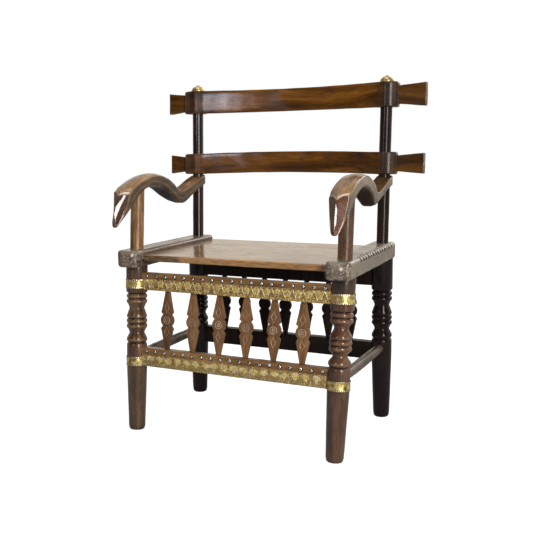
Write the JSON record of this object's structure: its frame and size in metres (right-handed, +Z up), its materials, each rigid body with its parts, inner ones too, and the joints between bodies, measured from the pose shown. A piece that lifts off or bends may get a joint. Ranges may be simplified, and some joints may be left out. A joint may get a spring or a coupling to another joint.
{
  "type": "carved wooden armchair",
  "caption": "Low armchair with turned legs, a plank seat, splatted cross rails with embossed brass, S-curved arms with beaked ends and two bowed back slats with flared ends.",
  "frame": {"origin": "on the floor, under the middle of the chair's bounding box", "axes": "+Z up, -Y the way the sitter faces, +X to the viewer's right when looking at the front"},
  "size_m": [0.689, 0.4278, 0.8274],
  "materials": {
    "turned_wood": "dark brown, waxed and glossy",
    "arm_wood": "dark reddish brown, polished by hands",
    "slat_wood": "brown with visible grain, glossy",
    "rail_wood": "brown, mottled and worn, satin",
    "seat_wood": "golden brown plank, glossy top",
    "cross_wood": "golden brown, satin",
    "splat_wood": "reddish brown, incised",
    "rear_wood": "nearly black brown, satin",
    "embossed_brass": "thin embossed sheet, aged",
    "band_brass": "thin pinked band, bright",
    "cap_brass": "domed cap, bright",
    "nail_metal": "domed nail heads, worn bright"
  },
  "bodies": {
    "root": {"front_left_leg": "turned_wood", "front_right_leg": "turned_wood", "rear_left_leg": "turned_wood", "rear_right_leg": "turned_wood", "front_left_post": "turned_wood", "front_right_post": "turned_wood", "rear_left_post": "turned_wood", "rear_right_post": "turned_wood", "left_seat_rail": "rail_wood", "right_seat_rail": "rail_wood", "seat_board": "seat_wood", "front_upper_rail": "cross_wood", "front_lower_rail": "cross_wood", "rear_upper_rail": "rear_wood", "rear_lower_rail": "rear_wood", "left_stretcher": "turned_wood", "right_stretcher": "turned_wood", "front_splat_1": "splat_wood", "front_splat_2": "splat_wood", "front_splat_3": "splat_wood", "front_splat_4": "splat_wood", "front_splat_5": "splat_wood", "front_splat_6": "splat_wood", "rear_splat_1": "rear_wood", "rear_splat_2": "rear_wood", "rear_splat_3": "rear_wood", "rear_splat_4": "rear_wood", "rear_splat_5": "rear_wood", "rear_splat_6": "rear_wood", "rear_splat_7": "rear_wood", "upper_brass_strip": "embossed_brass", "lower_brass_strip": "embossed_brass", "upper_nails": "nail_metal", "lower_nails": "nail_metal", "front_left_upper_band": "band_brass", "front_left_lower_band": "band_brass", "front_right_upper_band": "band_brass", "front_right_lower_band": "band_brass", "left_armrest": "arm_wood", "right_armrest": "arm_wood", "top_back_slat": "slat_wood", "lower_back_slat": "slat_wood", "left_finial": "cap_brass", "right_finial": "cap_brass", "left_rail_pegs": "rail_wood", "right_rail_pegs": "rail_wood"}
  },
  "joints": []
}
